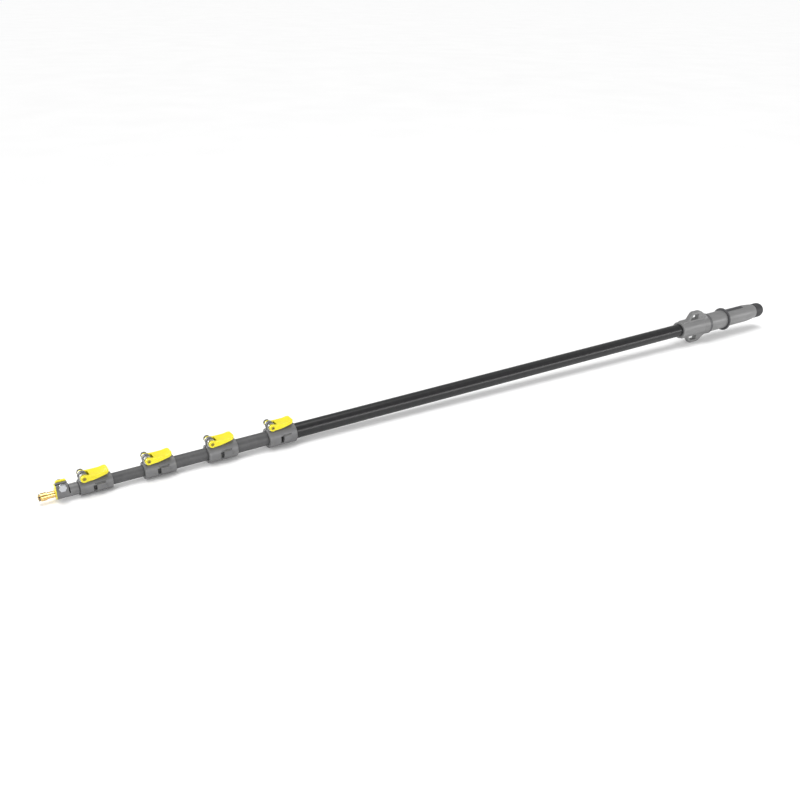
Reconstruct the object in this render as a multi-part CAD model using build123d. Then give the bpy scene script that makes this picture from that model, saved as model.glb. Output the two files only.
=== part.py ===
"""Telescopic window cleaning pole: five nested tubes, four lever clamps, a brush nipple and a guarded handle.

Millimetres. +X runs along the pole from the nipple to the handle, +Z is up when the levers lie on top.
The origin is on the pole's axis, inside the nipple's land. Everything is drawn with the pole pushed together.
"""
import os
from math import cos, radians, sin

from build123d import *

# ---- Tubes: number 1 is the thinnest and carries the nipple, number 5 carries the handle ----
TUBES = 5
OUTER_TUBE_DIAMETER = 33.0
TUBE_WALL = 1.2
TUBE_GAP = 0.5                # radial play between one tube and the next
OUTER_TUBE_LENGTH = 1475.6

# ---- Clearances ----
SLIDE_CLEARANCE = 0.3         # radial, between pieces that slide along the pole
PIVOT_CLEARANCE = 0.15        # radial, between a bolt and what turns on it
FACE_CLEARANCE = 0.3          # between faces that turn past each other
STOP_CLEARANCE = 0.5          # lengthwise, where one tube's bush stops on the next

# ---- Clamp collars ----
COLLAR_STEPS = (125.4, 131.6, 133.4)   # from each collar's front to the next one's
COLLAR_TO_HEAD = 0.5
COLLAR_LENGTH = 63.0
COLLAR_WALL = 4.65            # over the tube that the collar is fixed to
COLLAR_EDGE = 0.9
COLLAR_LIP = 1.5              # thickness of the lip that keeps the liner in
BAND_LENGTH = 25.0            # the springy part that closes on the thinner tube
BAND_SLOT_LENGTH = 6.0
TUBE_BEHIND_BAND = 2.0        # gap between the band and the front of the tube fixed in the collar
BAND_SLOT_TOP = 15.0          # degrees above the side of the collar
BAND_SLOT_BOTTOM = -33.0
PAD_LENGTH = 17.0
PAD_HEIGHT = 11.0
PAD_RISE = 2.4
LUG_SLIT = 3.0
LUG_THICKNESS = 6.0
LUG_RADIUS = 8.3
BOLT_BACK = 10.5              # bolt axis behind the collar's front face
EYE_SINK = 1.8                # of the lever's eyes below the collar's outside

# ---- Clamp bolts, levers and nuts ----
BOLT_DIAMETER = 5.0
BOLT_HEAD_DIAMETER = 7.0
BOLT_HEAD_LENGTH = 3.0
BOLT_SOCKET_FLATS = 3.0
EYE_DIAMETER = 14.4
ARM_THICKNESS = 5.8
LEVER_LENGTH = 48.0           # pivot to tip
LEVER_ARM_TOP = 4.6           # of the top plate over the pivot
LEVER_ARM_BOTTOM = 5.8        # of the side walls below the pivot
LEVER_PLATE = 3.0
LEVER_PLATE_START = 11.5
LEVER_BEND = 34.0             # where the thumb tab begins
LEVER_TAB_RISE = 2.8
LEVER_TIP_HEIGHT = 6.4
LEVER_BOSS = 2.2
LUG_WASHER_DIAMETER = 17.4
LUG_WASHER_THICKNESS = 1.0
NUT_DIAMETER = 14.0
NUT_THICKNESS = 6.0
NUT_FLUTES = 18
NUT_FLUTE_DIAMETER = 1.6

# ---- Head clamp on the thinnest tube ----
HEAD_FRONT = 20.5
HEAD_BAND_LENGTH = 23.0
HEAD_SLIT = 2.0
HEAD_NECK_LENGTH = 17.0
HEAD_WALL = 2.45              # over the thinnest tube
HEAD_CHEEK_RISE = 8.25        # over the neck
HEAD_CHEEK_INSET = 0.15       # of the cheeks' outer faces from the neck's sides
HEAD_CHEEK_THICKNESS = 5.0
HEAD_SECOND_CHEEK_START = -2.5
HEAD_SECOND_CHEEK_THICKNESS = 6.0
HEAD_CUTAWAY_HEIGHT = 7.5     # over the pole's axis, of the step beside the second cheek
HEAD_FACE_THICKNESS = 1.2
HEAD_FACE_INSET = 0.4         # of the face plate's edge from the head's
HEAD_BOLT_BACK = 11.2
HEAD_BOLT_RISE = 3.85         # bolt axis over the neck
HEAD_BOLT_DIAMETER = 6.0
HEAD_HEX_FLATS = 13.0
HEAD_HEX_LENGTH = 5.0
HEAD_WASHER_DIAMETER = 14.0
HEAD_WASHER_THICKNESS = 1.2
CAM_THICKNESS = 6.2
CAM_TOP = 6.5                 # this and the next three are from the head bolt's axis
CAM_BOTTOM = 4.2
CAM_FRONT = 8.7
CAM_REAR = 11.8
CAM_EDGE = 3.0
DOME_NUT_FLATS = 10.0
DOME_NUT_LENGTH = 4.5

# ---- Brush nipple ----
NIPPLE_FRONT = -12.0
NIPPLE_TIP_LENGTH = 4.0
NIPPLE_TIP_DIAMETER = 12.0
NIPPLE_LAND_LENGTH = 11.5
NIPPLE_LAND_DIAMETER = 16.0
NIPPLE_SHANK_LENGTH = 41.0
NIPPLE_SHANK_DIAMETER = 13.0
NIPPLE_BORE = 7.0
NIPPLE_EDGE = 0.5
RING_SECTION = 2.0
RING_BACK = 2.0               # from the nipple's front to the ring's middle
RING_SINK = 0.8               # depth of the ring's groove
RING_SIDE_PLAY = 0.1

# ---- Guide bushes at the tubes' rear ends ----
BUSH_HEAD = 3.0
BUSH_SPIGOT = 12.0
BUSH_WALL = 1.2

# ---- Handle ----
SLEEVE_LENGTH = 96.0
SLEEVE_FLARE = 11.0           # length of the cone that spreads from the sleeve to the shoulder ring
SLEEVE_WALL = 5.75            # this and the next five are radial, over the outer tube
RING_WALL = 11.25
BODY_WALL = 8.5
FLANGE_WALL = 14.5
GRIP_WALL = 7.0
GRIP_END_WALL = 3.5
RING_LENGTH = 9.0
BODY_LENGTH = 63.0
FLANGE_THICKNESS = 4.0
GRIP_LENGTH = 120.0
GRIP_OVERHANG = 8.0           # of the grip behind the tube
GRIP_TAPER = 38.0
GRIP_RECESS_LENGTH = 76.0
GRIP_RECESS_WIDTH = 15.0
GRIP_RECESS_DEPTH = 2.2
CAP_SKIRT = 20.0
PLUG_LENGTH = 30.0
HANDLE_EDGE = 1.2

# ---- Hose loops above and below the sleeve ----
LOOP_FOOT = 27.0              # front foot behind the sleeve's front
LOOP_RISE = 21.45             # of the loop's top over the sleeve
LOOP_FLAT_FRONT = 43.0
LOOP_FLAT_REAR = 73.0
LOOP_REAR_RISE = 6.5
LOOP_WIDTH = 14.0
LOOP_WINDOW_RISE = 1.25
LOOP_BAR = 7.0
LOOP_WINDOW_LENGTH = 29.0

# ---- Handle screws ----
SCREW_TURNS = (35, -35)       # degrees about the pole from +Y
SCREW_DIAMETER = 4.0
SCREW_HEAD_DIAMETER = 7.0
SCREW_SEAT_DEPTH = 2.0
SCREW_SINK = 0.6              # of the head below the surface
SCREW_BACK = 14.0

# ---- Places that follow from the sizes above ----
BAND_OVER_LUGS = LUG_SLIT / 2 + LUG_THICKNESS
ARM_INNER = BAND_OVER_LUGS + LUG_WASHER_THICKNESS + FACE_CLEARANCE
ARM_OUTER = ARM_INNER + ARM_THICKNESS
TUBE_SEAT = OUTER_TUBE_DIAMETER / 2


def tube_radius(number):
    """Outside radius of a tube, stepping down from the outer one by a wall and a gap."""
    return TUBE_SEAT - (TUBES - number) * (TUBE_WALL + TUBE_GAP)


HEAD_RADIUS = tube_radius(1) + HEAD_WALL
HEAD_CHEEK_OUTER = HEAD_RADIUS - HEAD_CHEEK_INSET
HEAD_CHEEK_TOP = HEAD_RADIUS + HEAD_CHEEK_RISE
HEAD_BAND_END = HEAD_FRONT + HEAD_BAND_LENGTH
HEAD_REAR = HEAD_BAND_END + HEAD_SLIT + HEAD_NECK_LENGTH
HEAD_BOLT_X = HEAD_FRONT + HEAD_BOLT_BACK
HEAD_BOLT_HEIGHT = HEAD_RADIUS + HEAD_BOLT_RISE
SHANK_SEAT = NIPPLE_SHANK_DIAMETER / 2 + SLIDE_CLEARANCE
HEAD_SECOND_CHEEK_END = HEAD_SECOND_CHEEK_START + HEAD_SECOND_CHEEK_THICKNESS
CAM_START = HEAD_SECOND_CHEEK_END + FACE_CLEARANCE


def collar_front(number):
    """Front face of the collar that closes on tube `number`."""
    return HEAD_REAR + COLLAR_TO_HEAD + sum(COLLAR_STEPS[:number - 1])


def collar_radius(number):
    """Outside radius of the collar that closes on tube `number` and is fixed to the next one out."""
    return tube_radius(number + 1) + COLLAR_WALL


def bolt_place(number):
    """X and Z of the clamp bolt of collar `number`."""
    return collar_front(number) + BOLT_BACK, collar_radius(number) + EYE_DIAMETER / 2 - EYE_SINK


def tube_front(number):
    """Front end of a tube: in the neck of the head, or against the liner in the collar fixed to it."""
    if number == 1:
        return HEAD_BAND_END + HEAD_SLIT
    return collar_front(number - 1) + BAND_LENGTH + TUBE_BEHIND_BAND


TUBE_REAR_END = tube_front(TUBES) + OUTER_TUBE_LENGTH
PLUG_FRONT = TUBE_REAR_END - PLUG_LENGTH
CAP_FRONT = TUBE_REAR_END + GRIP_OVERHANG
GRIP_FRONT = CAP_FRONT - GRIP_LENGTH
FLANGE_FRONT = GRIP_FRONT - FLANGE_THICKNESS
BODY_FRONT = FLANGE_FRONT - BODY_LENGTH
RING_FRONT = BODY_FRONT - RING_LENGTH
SLEEVE_FRONT = RING_FRONT - SLEEVE_LENGTH
SLEEVE_RADIUS = TUBE_SEAT + SLEEVE_WALL
BODY_RADIUS = TUBE_SEAT + BODY_WALL
GRIP_RADIUS = TUBE_SEAT + GRIP_WALL
CAP_RADIUS = TUBE_SEAT + GRIP_END_WALL


def tube_rear(number):
    """Rear end of a tube: each bush stops on the spigot of the next bush out."""
    if number == TUBES:
        return TUBE_REAR_END
    step = BUSH_HEAD + BUSH_SPIGOT + STOP_CLEARANCE
    return PLUG_FRONT - STOP_CLEARANCE - BUSH_HEAD - (TUBES - 1 - number) * step


def rod(start, length, radius):
    """Round bar along +X."""
    return Pos(start, 0, 0) * Rot(0, 90, 0) * Cylinder(
        radius, length, align=(Align.CENTER, Align.CENTER, Align.MIN))


def pipe(start, length, outer, inner):
    """Round tube along +X."""
    return rod(start, length, outer) - rod(start - 1, length + 2, inner)


def cross_rod(x, z, start, length, radius):
    """Round bar along +Y through the point (x, z)."""
    return Pos(x, start, z) * Rot(-90, 0, 0) * Cylinder(
        radius, length, align=(Align.CENTER, Align.CENTER, Align.MIN))


def cross_hex(x, z, start, length, flats):
    """Hexagonal bar along +Y through the point (x, z)."""
    section = Plane(origin=(x, start, z), x_dir=(1, 0, 0), z_dir=(0, 1, 0)) * RegularPolygon(
        flats / 2, 6, major_radius=False)
    return extrude(section, length, dir=(0, 1, 0))


def side_plate(outline, start, width):
    """Flat plate cut to an outline of (x, z) points and `width` thick along +Y from `start`."""
    face = make_face(Plane.XZ * Polyline(*outline, close=True))
    return Pos(0, start, 0) * extrude(face, width, dir=(0, 1, 0))


def revolved(outline):
    """Solid of revolution about the pole's axis from an outline of (x, radius) points."""
    face = make_face(Plane.XZ * Polyline(*outline, close=True))
    return revolve(face, Axis.X)


def block(low, high):
    """Box between two corners."""
    size = [b - a for a, b in zip(low, high)]
    return Pos(*low) * Box(*size, align=(Align.MIN, Align.MIN, Align.MIN))


# ---- Tubes and bushes ----

def tube(number):
    """Tube from the front that its collar or neck holds to its staggered rear end."""
    radius = tube_radius(number)
    front = tube_front(number)
    return pipe(front, tube_rear(number) - front, radius, radius - TUBE_WALL)


def guide_bush(number):
    """Bush pressed into a tube's rear end: a spigot inside the tube and a head that runs in the next tube."""
    inside = tube_radius(number) - TUBE_WALL
    head = tube_radius(number) + TUBE_GAP - SLIDE_CLEARANCE
    rear = tube_rear(number)
    spigot = rod(rear - BUSH_SPIGOT, BUSH_SPIGOT, inside)
    rim = rod(rear, BUSH_HEAD, head)
    return spigot + rim - rod(rear - BUSH_SPIGOT - 1, BUSH_SPIGOT + BUSH_HEAD + 2, inside - BUSH_WALL)


# ---- Clamps ----

def collar(number):
    """Clamp collar: a split band with two lugs in front, a socket for the carrying tube behind."""
    front = collar_front(number)
    outer = collar_radius(number)
    seat = tube_radius(number + 1)
    bolt_x, bolt_z = bolt_place(number)
    barrel = chamfer(rod(front, COLLAR_LENGTH, outer).edges().filter_by(GeomType.CIRCLE), COLLAR_EDGE)
    lug = cross_rod(bolt_x, bolt_z, -BAND_OVER_LUGS, 2 * BAND_OVER_LUGS, LUG_RADIUS)
    root = block((bolt_x - LUG_RADIUS, -BAND_OVER_LUGS, seat), (bolt_x + LUG_RADIUS, BAND_OVER_LUGS, bolt_z))
    pad_x = front + BAND_LENGTH + BAND_SLOT_LENGTH
    pad_reach = outer + PAD_RISE
    pad = block((pad_x, -pad_reach, -PAD_HEIGHT / 2), (pad_x + PAD_LENGTH, pad_reach, PAD_HEIGHT / 2))
    body = barrel + lug + root + pad
    body -= rod(front + COLLAR_LIP, COLLAR_LENGTH, seat)
    body -= rod(front - 1, COLLAR_LIP + 2, tube_radius(number) + SLIDE_CLEARANCE)
    body -= block((front - 1, -LUG_SLIT / 2, 0), (front + BAND_LENGTH, LUG_SLIT / 2, bolt_z + LUG_RADIUS + 1))
    body -= cross_rod(bolt_x, bolt_z, -outer, 2 * outer, BOLT_DIAMETER / 2)
    swing = max(EYE_DIAMETER, LUG_WASHER_DIAMETER) / 2 + FACE_CLEARANCE
    for side in (-1, 1):
        near = BAND_OVER_LUGS if side > 0 else -BAND_OVER_LUGS - outer
        body -= cross_rod(bolt_x, bolt_z, near, outer, swing)
        body -= band_slot(front + BAND_LENGTH, seat, outer + PAD_RISE, side)
    return body


def band_slot(start, inner, outer, side):
    """Sector cut that frees the band from the socket on one side of the collar."""
    reach = 2 * outer
    corners = [(0.0, 0.0)]
    for angle in (BAND_SLOT_TOP, BAND_SLOT_BOTTOM):
        corners.append((side * reach * cos(radians(angle)), reach * sin(radians(angle))))
    face = make_face(Plane.YZ * Polyline(*corners, close=True))
    wedge = Pos(start, 0, 0) * extrude(face, BAND_SLOT_LENGTH, dir=(1, 0, 0))
    return wedge & pipe(start, BAND_SLOT_LENGTH, outer + 1, inner - 1)


def grip_liner(number):
    """Split plastic sleeve inside the band, closed on the thinner tube by the clamp."""
    start = collar_front(number) + COLLAR_LIP
    length = BAND_LENGTH - COLLAR_LIP
    sleeve = pipe(start, length, tube_radius(number + 1), tube_radius(number) + SLIDE_CLEARANCE)
    slit = block((start - 1, -LUG_SLIT / 2, 0), (start + length + 1, LUG_SLIT / 2, tube_radius(TUBES)))
    return sleeve - slit


def clamp_lever(number):
    """Fork lever: two eyes on the bolt, two side walls, a top plate and an upturned thumb tab."""
    x, z = bolt_place(number)
    top = z + LEVER_ARM_TOP
    tip_x = x + LEVER_LENGTH
    tip_top = top + LEVER_TAB_RISE
    bend = x + LEVER_BEND
    plate_start = x + LEVER_PLATE_START
    wall = [(x, z - EYE_DIAMETER / 2), (x + LEVER_BEND / 2, z - LEVER_ARM_BOTTOM),
            (tip_x, tip_top - LEVER_TIP_HEIGHT), (tip_x, tip_top), (bend, top), (plate_start, top),
            (x, z + EYE_DIAMETER / 2)]
    plate = [(plate_start, top), (bend, top), (tip_x, tip_top), (tip_x, tip_top - LEVER_PLATE),
             (bend, top - LEVER_PLATE), (plate_start, top - LEVER_PLATE)]
    lever = side_plate(plate, -ARM_OUTER, 2 * ARM_OUTER)
    for start in (-ARM_OUTER, ARM_INNER):
        lever += side_plate(wall, start, ARM_THICKNESS)
        lever += cross_rod(x, z, start, ARM_THICKNESS, EYE_DIAMETER / 2)
    lever -= cross_rod(x, z, -ARM_INNER, 2 * ARM_INNER, LUG_RADIUS + FACE_CLEARANCE)
    lever += cross_rod(x, z, ARM_OUTER, LEVER_BOSS, NUT_DIAMETER / 2 - 1)
    lever -= cross_rod(x, z, -2 * ARM_OUTER, 4 * ARM_OUTER, BOLT_DIAMETER / 2 + PIVOT_CLEARANCE)
    head_seat = BOLT_HEAD_LENGTH + FACE_CLEARANCE
    return lever - cross_rod(x, z, -ARM_OUTER - 1, head_seat + 1, BOLT_HEAD_DIAMETER / 2 + FACE_CLEARANCE)


def clamp_bolt(number):
    """Socket head bolt through lever, lugs and thumb nut, its head sunk in the near eye."""
    x, z = bolt_place(number)
    tip = ARM_OUTER + LEVER_BOSS + FACE_CLEARANCE + NUT_THICKNESS
    head = cross_rod(x, z, -ARM_OUTER, BOLT_HEAD_LENGTH, BOLT_HEAD_DIAMETER / 2)
    head -= cross_hex(x, z, -ARM_OUTER - 1, 1 + BOLT_HEAD_LENGTH / 2, BOLT_SOCKET_FLATS)
    return head + cross_rod(x, z, -ARM_OUTER + BOLT_HEAD_LENGTH, ARM_OUTER - BOLT_HEAD_LENGTH + tip,
                            BOLT_DIAMETER / 2)


def thumb_nut(number):
    """Round nut with fluted rim on the far end of the clamp bolt."""
    x, z = bolt_place(number)
    start = ARM_OUTER + LEVER_BOSS + FACE_CLEARANCE
    nut = cross_rod(x, z, start, NUT_THICKNESS, NUT_DIAMETER / 2)
    for step in range(NUT_FLUTES):
        angle = radians(360 * step / NUT_FLUTES)
        rim_x = x + NUT_DIAMETER / 2 * cos(angle)
        rim_z = z + NUT_DIAMETER / 2 * sin(angle)
        nut -= cross_rod(rim_x, rim_z, start - 1, NUT_THICKNESS + 2, NUT_FLUTE_DIAMETER / 2)
    return nut - cross_rod(x, z, start - 1, NUT_THICKNESS + 2, BOLT_DIAMETER / 2 + PIVOT_CLEARANCE)


def lug_washers(number):
    """Pair of washers between the collar's lugs and the lever's eyes."""
    x, z = bolt_place(number)
    washers = []
    for start in (-BAND_OVER_LUGS - LUG_WASHER_THICKNESS, BAND_OVER_LUGS):
        washer = cross_rod(x, z, start, LUG_WASHER_THICKNESS, LUG_WASHER_DIAMETER / 2)
        washers.append(washer - cross_rod(x, z, start - 1, LUG_WASHER_THICKNESS + 2, BOLT_DIAMETER / 2))
    return Compound(children=washers)


# ---- Head ----

def head_clamp():
    """Grey moulding on the thinnest tube: a split clamp with two cheeks in front, a neck behind."""
    band_end = HEAD_BAND_END
    slit_end = band_end + HEAD_SLIT
    neck = rod(HEAD_FRONT, HEAD_REAR - HEAD_FRONT, HEAD_RADIUS)
    near_end = HEAD_CHEEK_THICKNESS - HEAD_CHEEK_OUTER
    body = chamfer(neck.edges().filter_by(GeomType.CIRCLE), COLLAR_EDGE / 2)
    body += block((HEAD_FRONT, -HEAD_CHEEK_OUTER, 0), (band_end, near_end, HEAD_CHEEK_TOP))
    body += block((HEAD_FRONT, HEAD_SECOND_CHEEK_START, 0), (band_end, HEAD_SECOND_CHEEK_END, HEAD_CHEEK_TOP))
    body -= block((HEAD_FRONT - 1, HEAD_SECOND_CHEEK_END, HEAD_CUTAWAY_HEIGHT),
                  (band_end + HEAD_SLIT / 2, HEAD_RADIUS + 1, HEAD_CHEEK_TOP))
    body -= rod(HEAD_FRONT - 1, HEAD_BAND_LENGTH + HEAD_SLIT + 1, SHANK_SEAT)
    body -= rod(slit_end, HEAD_NECK_LENGTH + 1, tube_radius(1))
    slit_middle = (near_end + HEAD_SECOND_CHEEK_START) / 2
    body -= block((HEAD_FRONT - 1, slit_middle - LUG_SLIT / 2, 0),
                  (slit_end, slit_middle + LUG_SLIT / 2, HEAD_CHEEK_TOP))
    body -= block((band_end, -HEAD_CHEEK_OUTER - 1, -1), (slit_end, HEAD_CHEEK_OUTER + 1, HEAD_CHEEK_TOP))
    return body - cross_rod(HEAD_BOLT_X, HEAD_BOLT_HEIGHT, -40, 80, HEAD_BOLT_DIAMETER / 2)


def head_face():
    """Thin plate on the head's front face, round the nipple's shank and in front of both cheeks."""
    start = HEAD_FRONT - HEAD_FACE_THICKNESS
    radius = HEAD_RADIUS - HEAD_FACE_INSET
    plate = rod(start, HEAD_FACE_THICKNESS, radius)
    plate += block((start, -radius, 0), (HEAD_FRONT, HEAD_SECOND_CHEEK_END, HEAD_CHEEK_TOP - HEAD_FACE_INSET))
    plate -= block((start - 1, HEAD_SECOND_CHEEK_END, HEAD_CUTAWAY_HEIGHT),
                   (HEAD_FRONT + 1, HEAD_RADIUS + 1, HEAD_CHEEK_TOP))
    return plate - rod(start - 1, HEAD_FACE_THICKNESS + 2, SHANK_SEAT)


def head_washer():
    """Flat washer under the hex head."""
    start = -HEAD_CHEEK_OUTER - HEAD_WASHER_THICKNESS
    washer = cross_rod(HEAD_BOLT_X, HEAD_BOLT_HEIGHT, start, HEAD_WASHER_THICKNESS, HEAD_WASHER_DIAMETER / 2)
    return washer - cross_rod(HEAD_BOLT_X, HEAD_BOLT_HEIGHT, start - 1, 4, HEAD_BOLT_DIAMETER / 2)


def head_bolt():
    """Hex head bolt through washer, cheeks and lever."""
    start = -HEAD_CHEEK_OUTER - HEAD_WASHER_THICKNESS
    tip = CAM_START + CAM_THICKNESS + FACE_CLEARANCE + DOME_NUT_LENGTH / 2
    head = cross_hex(HEAD_BOLT_X, HEAD_BOLT_HEIGHT, start - HEAD_HEX_LENGTH, HEAD_HEX_LENGTH, HEAD_HEX_FLATS)
    return head + cross_rod(HEAD_BOLT_X, HEAD_BOLT_HEIGHT, start, tip - start, HEAD_BOLT_DIAMETER / 2)


def head_nut():
    """Closed nut that keeps the lever on the bolt."""
    start = CAM_START + CAM_THICKNESS + FACE_CLEARANCE
    nut = cross_hex(HEAD_BOLT_X, HEAD_BOLT_HEIGHT, start, DOME_NUT_LENGTH, DOME_NUT_FLATS)
    return nut - cross_rod(HEAD_BOLT_X, HEAD_BOLT_HEIGHT, start - 1, 1 + DOME_NUT_LENGTH / 2,
                           HEAD_BOLT_DIAMETER / 2)


def head_lever():
    """Short quick-release lever beside the second cheek, with all its corners rounded."""
    lever = block((HEAD_BOLT_X - CAM_FRONT, CAM_START, HEAD_BOLT_HEIGHT - CAM_BOTTOM),
                  (HEAD_BOLT_X + CAM_REAR, CAM_START + CAM_THICKNESS, HEAD_BOLT_HEIGHT + CAM_TOP))
    lever = fillet(lever.edges().filter_by(Axis.Y), CAM_EDGE)
    return lever - cross_rod(HEAD_BOLT_X, HEAD_BOLT_HEIGHT, CAM_START - 1, CAM_THICKNESS + 2,
                             HEAD_BOLT_DIAMETER / 2 + PIVOT_CLEARANCE)


def brush_nipple():
    """Turned brass nipple: tip with a ring groove, wide land, shank held by the head clamp, through bore."""
    land_front = NIPPLE_FRONT + NIPPLE_TIP_LENGTH
    land = rod(land_front, NIPPLE_LAND_LENGTH, NIPPLE_LAND_DIAMETER / 2)
    body = chamfer(land.edges().filter_by(GeomType.CIRCLE), NIPPLE_EDGE)
    body += rod(NIPPLE_FRONT, NIPPLE_TIP_LENGTH, NIPPLE_TIP_DIAMETER / 2)
    body += rod(land_front + NIPPLE_LAND_LENGTH, NIPPLE_SHANK_LENGTH, NIPPLE_SHANK_DIAMETER / 2)
    groove = RING_SECTION + 2 * RING_SIDE_PLAY
    body -= pipe(NIPPLE_FRONT + RING_BACK - groove / 2, groove, NIPPLE_TIP_DIAMETER,
                 NIPPLE_TIP_DIAMETER / 2 - RING_SINK)
    return body - rod(NIPPLE_FRONT - 1, NIPPLE_TIP_LENGTH + NIPPLE_LAND_LENGTH + NIPPLE_SHANK_LENGTH + 2,
                      NIPPLE_BORE / 2)


def nipple_ring():
    """Rubber sealing ring in the nipple's groove."""
    middle_radius = NIPPLE_TIP_DIAMETER / 2 - RING_SINK + RING_SECTION / 2
    return Pos(NIPPLE_FRONT + RING_BACK, 0, 0) * Rot(0, 90, 0) * Torus(middle_radius, RING_SECTION / 2)


# ---- Handle ----

def loop(side):
    """Hose loop with a window, standing on the sleeve's top (side 1) or bottom (side -1)."""
    foot = SLEEVE_FRONT + LOOP_FOOT
    rear = RING_FRONT
    flat_front = SLEEVE_FRONT + LOOP_FLAT_FRONT
    flat_rear = SLEEVE_FRONT + LOOP_FLAT_REAR
    base = TUBE_SEAT + 1
    top = SLEEVE_RADIUS + LOOP_RISE
    sill = SLEEVE_RADIUS + LOOP_WINDOW_RISE
    outline = [(foot, base), (foot, SLEEVE_RADIUS), (flat_front, top), (flat_rear, top),
               (rear, SLEEVE_RADIUS + LOOP_REAR_RISE), (rear, base)]
    window_front = foot + LOOP_BAR * 1.3
    window_rear = window_front + LOOP_WINDOW_LENGTH
    window = [(window_front, sill), (flat_front + LOOP_BAR * 0.3, top - LOOP_BAR),
              (window_rear, top - LOOP_BAR), (window_rear, sill)]
    solid = side_plate([(x, side * z) for x, z in outline], -LOOP_WIDTH / 2, LOOP_WIDTH)
    solid -= side_plate([(x, side * z) for x, z in window], -LOOP_WIDTH, 2 * LOOP_WIDTH)
    return solid


def handle_sleeve():
    """Front sleeve of the handle on the outer tube, with the two hose loops."""
    barrel = revolved([(SLEEVE_FRONT, 0), (SLEEVE_FRONT, SLEEVE_RADIUS),
                       (RING_FRONT - SLEEVE_FLARE, SLEEVE_RADIUS), (RING_FRONT, TUBE_SEAT + RING_WALL),
                       (RING_FRONT, 0)])
    body = chamfer(barrel.edges().filter_by(GeomType.CIRCLE).group_by(Axis.X)[0], HANDLE_EDGE)
    body += loop(1) + loop(-1)
    body -= rod(SLEEVE_FRONT - 1, SLEEVE_LENGTH + 2, TUBE_SEAT)
    return body - screw_seats(SLEEVE_FRONT + SCREW_BACK, SLEEVE_RADIUS)


def shoulder_ring():
    """Wide ring between the sleeve and the guard body."""
    ring = rod(RING_FRONT, RING_LENGTH, TUBE_SEAT + RING_WALL)
    return chamfer(ring.edges(), HANDLE_EDGE) - rod(RING_FRONT - 1, RING_LENGTH + 2, TUBE_SEAT)


def guard_body():
    """Smooth barrel behind the shoulder ring."""
    barrel = pipe(BODY_FRONT, BODY_LENGTH, BODY_RADIUS, TUBE_SEAT)
    return barrel - screw_seats(BODY_FRONT + SCREW_BACK, BODY_RADIUS)


def guard_flange():
    """Thin round hand guard in front of the grip."""
    disc = rod(FLANGE_FRONT, FLANGE_THICKNESS, TUBE_SEAT + FLANGE_WALL)
    return chamfer(disc.edges(), HANDLE_EDGE) - rod(FLANGE_FRONT - 1, FLANGE_THICKNESS + 2, TUBE_SEAT)


def grip():
    """Hand grip that tapers towards the cap, with a shallow thumb rest along its top."""
    straight_end = CAP_FRONT - GRIP_TAPER
    outline = [(GRIP_FRONT, TUBE_SEAT), (GRIP_FRONT, GRIP_RADIUS), (straight_end, GRIP_RADIUS),
               (CAP_FRONT, CAP_RADIUS), (CAP_FRONT, TUBE_SEAT)]
    rest = block((GRIP_FRONT - 1, -GRIP_RECESS_WIDTH / 2, GRIP_RADIUS - GRIP_RECESS_DEPTH),
                 (GRIP_FRONT + GRIP_RECESS_LENGTH, GRIP_RECESS_WIDTH / 2, GRIP_RADIUS + 1))
    return revolved(outline) - rest


def end_cap():
    """Rubber cap: a dome on a short skirt, with a spigot in the grip's end."""
    skirt = rod(CAP_FRONT, CAP_SKIRT, CAP_RADIUS)
    dome = Pos(CAP_FRONT + CAP_SKIRT, 0, 0) * Sphere(CAP_RADIUS)
    dome &= rod(CAP_FRONT + CAP_SKIRT, 2 * CAP_RADIUS, CAP_RADIUS + 1)
    spigot_front = TUBE_REAR_END + STOP_CLEARANCE
    return skirt + dome + rod(spigot_front, CAP_FRONT - spigot_front, TUBE_SEAT)


def base_plug():
    """Plug in the outer tube's rear end, which stops the nested tubes."""
    return rod(PLUG_FRONT, PLUG_LENGTH, TUBE_SEAT - TUBE_WALL)


def screw(x, radius, turn, sink, head_diameter, reach):
    """Screw, or the space for one: sunk head, shank down to the tube, turned about the pole from +Y."""
    neck = radius - SCREW_SEAT_DEPTH
    head = cross_rod(x, 0, neck, SCREW_SEAT_DEPTH - sink + reach, head_diameter / 2)
    shank = cross_rod(x, 0, TUBE_SEAT, neck - TUBE_SEAT, SCREW_DIAMETER / 2)
    return Rot(turn, 0, 0) * (head + shank)


def screw_seats(x, radius):
    """Spaces for a pair of screws, both on the far side, open at the surface."""
    return [screw(x, radius, turn, 0, SCREW_HEAD_DIAMETER, 1) for turn in SCREW_TURNS]


def handle_screws():
    """Two pairs of screws that hold the sleeve and the guard body on the tube."""
    pairs = ((SLEEVE_FRONT + SCREW_BACK, SLEEVE_RADIUS), (BODY_FRONT + SCREW_BACK, BODY_RADIUS))
    screws = []
    for x, radius in pairs:
        screws += [screw(x, radius, turn, SCREW_SINK, SCREW_HEAD_DIAMETER, 0) for turn in SCREW_TURNS]
    return Compound(children=screws)


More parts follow.
